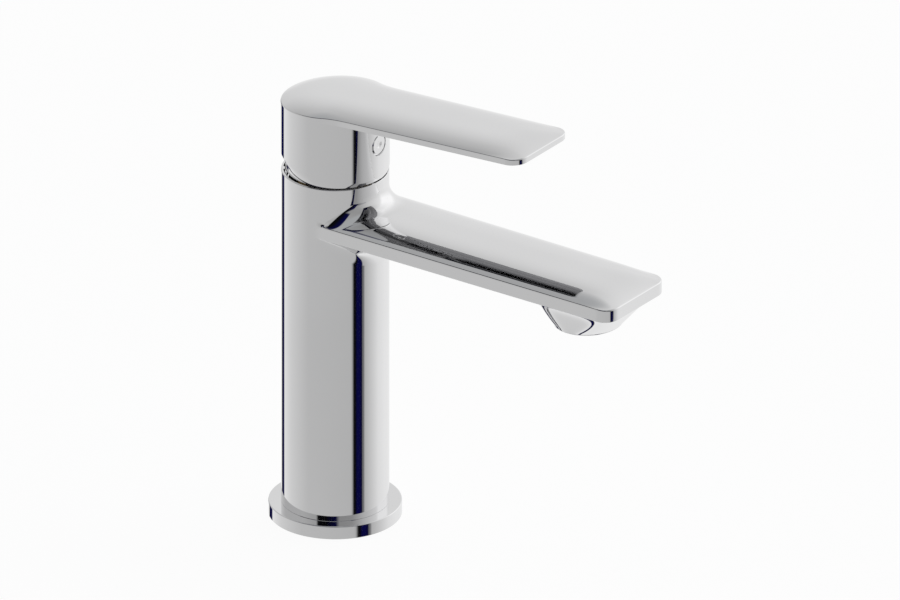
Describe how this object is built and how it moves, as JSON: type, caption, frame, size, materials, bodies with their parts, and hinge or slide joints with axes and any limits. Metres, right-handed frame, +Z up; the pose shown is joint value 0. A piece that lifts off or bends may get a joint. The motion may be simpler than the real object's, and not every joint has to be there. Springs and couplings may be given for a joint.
{
  "type": "bathroom mixer faucet",
  "caption": "Single-lever basin mixer: round column body with a flat crowned spout, base ring, flat lever handle on a round head, ceramic cartridge and hidden aerator.",
  "frame": {"origin": "on the body's vertical axis, in the plane of the deck that the base ring rests on", "axes": "+Z up the body, +X along the spout towards the user, +Y to the user's right, on the cold side"},
  "size_m": [0.164, 0.05, 0.1785],
  "materials": {
    "chrome": "bright chrome plating on brass, mirror polished",
    "chrome_handle": "bright chrome plating on die-cast zinc, mirror polished",
    "chrome_button": "chrome-plated plastic plug",
    "rubber_black": "moulded EPDM",
    "cartridge_white": "moulded acetal",
    "cartridge_grey": "glass-filled nylon",
    "ceramic_white": "lapped alumina ceramic",
    "steel": "stainless steel",
    "steel_dark": "blackened stainless steel",
    "brass": "machined brass",
    "aerator_plastic": "moulded acetal",
    "regulator_green": "moulded acetal"
  },
  "bodies": {
    "fixed_body": {"body": "chrome", "base_ring": "chrome", "ring_o_ring": "rubber_black", "foot_seal": "rubber_black", "cartridge_housing": "cartridge_white", "cartridge_base": "cartridge_grey", "port_seals": "rubber_black", "disc_seals": "rubber_black", "fixed_disc": "ceramic_white", "slip_washer": "cartridge_white", "retaining_nut": "brass", "aerator_housing": "aerator_plastic", "aerator_seal": "rubber_black", "flow_regulator": "regulator_green", "aerator_screens": "steel", "aerator_grid": "aerator_plastic"},
    "swivel": {"stem_rotor": "cartridge_white", "pivot_pin": "steel"},
    "lever": {"handle": "chrome_handle", "stem": "brass", "set_screw": "steel_dark", "index_button": "chrome_button"},
    "disc": {"moving_disc": "ceramic_white", "disc_carrier": "cartridge_white"}
  },
  "joints": [
    {"name": "turn", "type": "hinge", "parent": "fixed_body", "child": "swivel", "pos_m": [0, 0, 0.147], "axis": [0, 0, 1], "range_deg": [-45, 45]},
    {"name": "lift", "type": "hinge", "parent": "swivel", "child": "lever", "pos_m": [0, 0, 0.147], "axis": [0, -1, 0], "range_deg": [0, 20]},
    {"name": "disc_slide", "type": "slide", "parent": "swivel", "child": "disc", "axis": [1, 0, 0], "range_m": [0, 0.0035]}
  ],
  "couplings": [
    {"joint": "disc_slide", "follows": "lift", "m_per_rad": 0.01}
  ]
}
